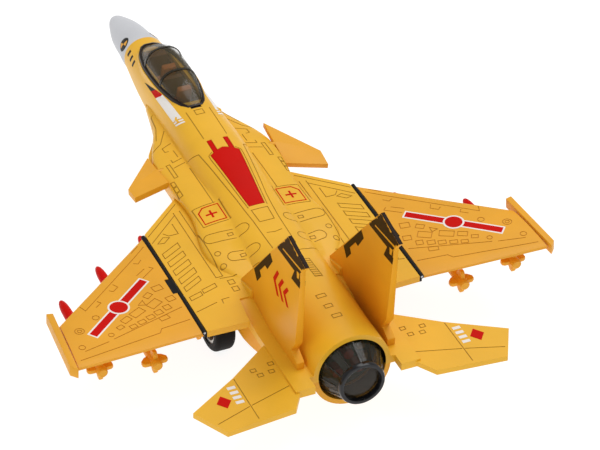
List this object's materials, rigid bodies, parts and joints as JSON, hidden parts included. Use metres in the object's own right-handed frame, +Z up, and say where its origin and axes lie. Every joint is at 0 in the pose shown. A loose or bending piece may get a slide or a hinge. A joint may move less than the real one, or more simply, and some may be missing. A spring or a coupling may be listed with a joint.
{
  "type": "toy airplane",
  "caption": "Die-cast pull-back toy jet with folding outer wings, pitching canards, lifting canopy, press button and rolling wheels",
  "frame": {"origin": "on the surface that the tyres stand on, under the middle of the bounding box", "axes": "+Z up, nose towards -Y, port wing towards +X"},
  "size_m": [0.1448, 0.1974, 0.058],
  "materials": {
    "body_paint": "satin yellow paint on die-cast metal",
    "orange_plastic": "satin moulded plastic",
    "grey_plastic": "satin light grey",
    "smoked_clear": "smoked transparent plastic",
    "black_plastic": "satin black",
    "red_plastic": "satin red",
    "brown_plastic": "matt brown",
    "tyre_rubber": "matt black rubber",
    "hub_silver": "vacuum-plated silver",
    "steel": "bright steel",
    "gear_nylon": "natural nylon",
    "circuit_green": "solder mask",
    "component_tan": "moulded components"
  },
  "bodies": {
    "airframe": {"battery_contacts": "steel", "battery_cover": "orange_plastic", "battery_cover_screw": "steel", "belly_shell": "orange_plastic", "board_components": "component_tan", "board_screws": "steel", "body_screws": "steel", "button_cells": "steel", "button_spring": "steel", "canopy_hinge_pin": "steel", "circuit_board": "circuit_green", "cockpit_tub": "black_plastic", "lamps": "component_tan", "mainspring": "steel", "motor_case_port": "black_plastic", "motor_case_starboard": "black_plastic", "nose_gear_strut": "black_plastic", "nozzle": "smoked_clear", "nozzle_end_ring": "black_plastic", "port_fin": "orange_plastic", "port_fold_hinge": "black_plastic", "port_fold_pin": "steel", "port_inner_missile": "orange_plastic", "radome": "grey_plastic", "seats": "brown_plastic", "speaker": "black_plastic", "starboard_fin": "orange_plastic", "starboard_fold_hinge": "black_plastic", "starboard_fold_pin": "steel", "starboard_inner_missile": "orange_plastic", "switch_board": "circuit_green", "tact_switch": "black_plastic", "upper_body": "body_paint"},
    "port_wing": {"port_outer_wing": "orange_plastic", "port_fold_leaf": "black_plastic", "port_tip_rail": "orange_plastic", "port_middle_missile": "orange_plastic", "port_outer_missile": "orange_plastic"},
    "starboard_wing": {"starboard_outer_wing": "orange_plastic", "starboard_fold_leaf": "black_plastic", "starboard_tip_rail": "orange_plastic", "starboard_middle_missile": "orange_plastic", "starboard_outer_missile": "orange_plastic"},
    "port_foreplane": {"port_canard": "orange_plastic"},
    "starboard_foreplane": {"starboard_canard": "orange_plastic"},
    "canopy_lid": {"canopy": "smoked_clear"},
    "button_key": {"dorsal_button": "red_plastic"},
    "rear_wheelset": {"rear_axle": "steel", "port_wheel_hub": "hub_silver", "port_tyre": "tyre_rubber", "starboard_wheel_hub": "hub_silver", "starboard_tyre": "tyre_rubber", "axle_gear": "gear_nylon"},
    "idler": {"idler_gear": "gear_nylon", "idler_shaft": "steel"},
    "spring_drive": {"spring_gear": "gear_nylon", "spring_arbor": "steel"},
    "nose_wheelset": {"nose_axle": "steel", "nose_wheel_hubs": "hub_silver", "nose_tyres": "tyre_rubber"}
  },
  "joints": [
    {"name": "port_wing_fold", "type": "hinge", "parent": "airframe", "child": "port_wing", "pos_m": [0.03255, 0.0389, 0.02105], "axis": [0, -1, 0], "range_deg": [0, 100]},
    {"name": "starboard_wing_fold", "type": "hinge", "parent": "airframe", "child": "starboard_wing", "pos_m": [-0.03255, 0.0389, 0.02105], "axis": [0, 1, 0], "range_deg": [0, 100]},
    {"name": "port_canard_pitch", "type": "hinge", "parent": "airframe", "child": "port_foreplane", "pos_m": [0.0155, -0.0115, 0.0233], "axis": [1, 0, 0], "range_deg": [-28, 12]},
    {"name": "starboard_canard_pitch", "type": "hinge", "parent": "airframe", "child": "starboard_foreplane", "pos_m": [-0.0155, -0.0115, 0.0233], "axis": [1, 0, 0], "range_deg": [-8, 32]},
    {"name": "canopy_lift", "type": "hinge", "parent": "airframe", "child": "canopy_lid", "pos_m": [0, -0.0277, 0.031], "axis": [-1, 0, 0], "range_deg": [0, 45]},
    {"name": "button_press", "type": "slide", "parent": "airframe", "child": "button_key", "axis": [0, 0, -1], "range_m": [0, 0.001], "stiffness_N_per_m": 400, "springref_m": -0.002, "deforming": ["button_spring"]},
    {"name": "rear_axle_roll", "type": "hinge", "parent": "airframe", "child": "rear_wheelset", "pos_m": [0, 0.0423, 0.0086], "axis": [1, 0, 0], "continuous": true},
    {"name": "idler_turn", "type": "hinge", "parent": "airframe", "child": "idler", "pos_m": [0, 0.05005, 0.0106], "axis": [1, 0, 0], "continuous": true},
    {"name": "spring_turn", "type": "hinge", "parent": "airframe", "child": "spring_drive", "pos_m": [0, 0.05735, 0.01232], "axis": [1, 0, 0], "continuous": true},
    {"name": "nose_wheels_roll", "type": "hinge", "parent": "airframe", "child": "nose_wheelset", "pos_m": [0, -0.0387, 0.0052], "axis": [1, 0, 0], "continuous": true}
  ],
  "couplings": [
    {"joint": "idler_turn", "follows": "rear_axle_roll", "ratio": -0.6},
    {"joint": "spring_turn", "follows": "rear_axle_roll", "ratio": 0.21818}
  ]
}
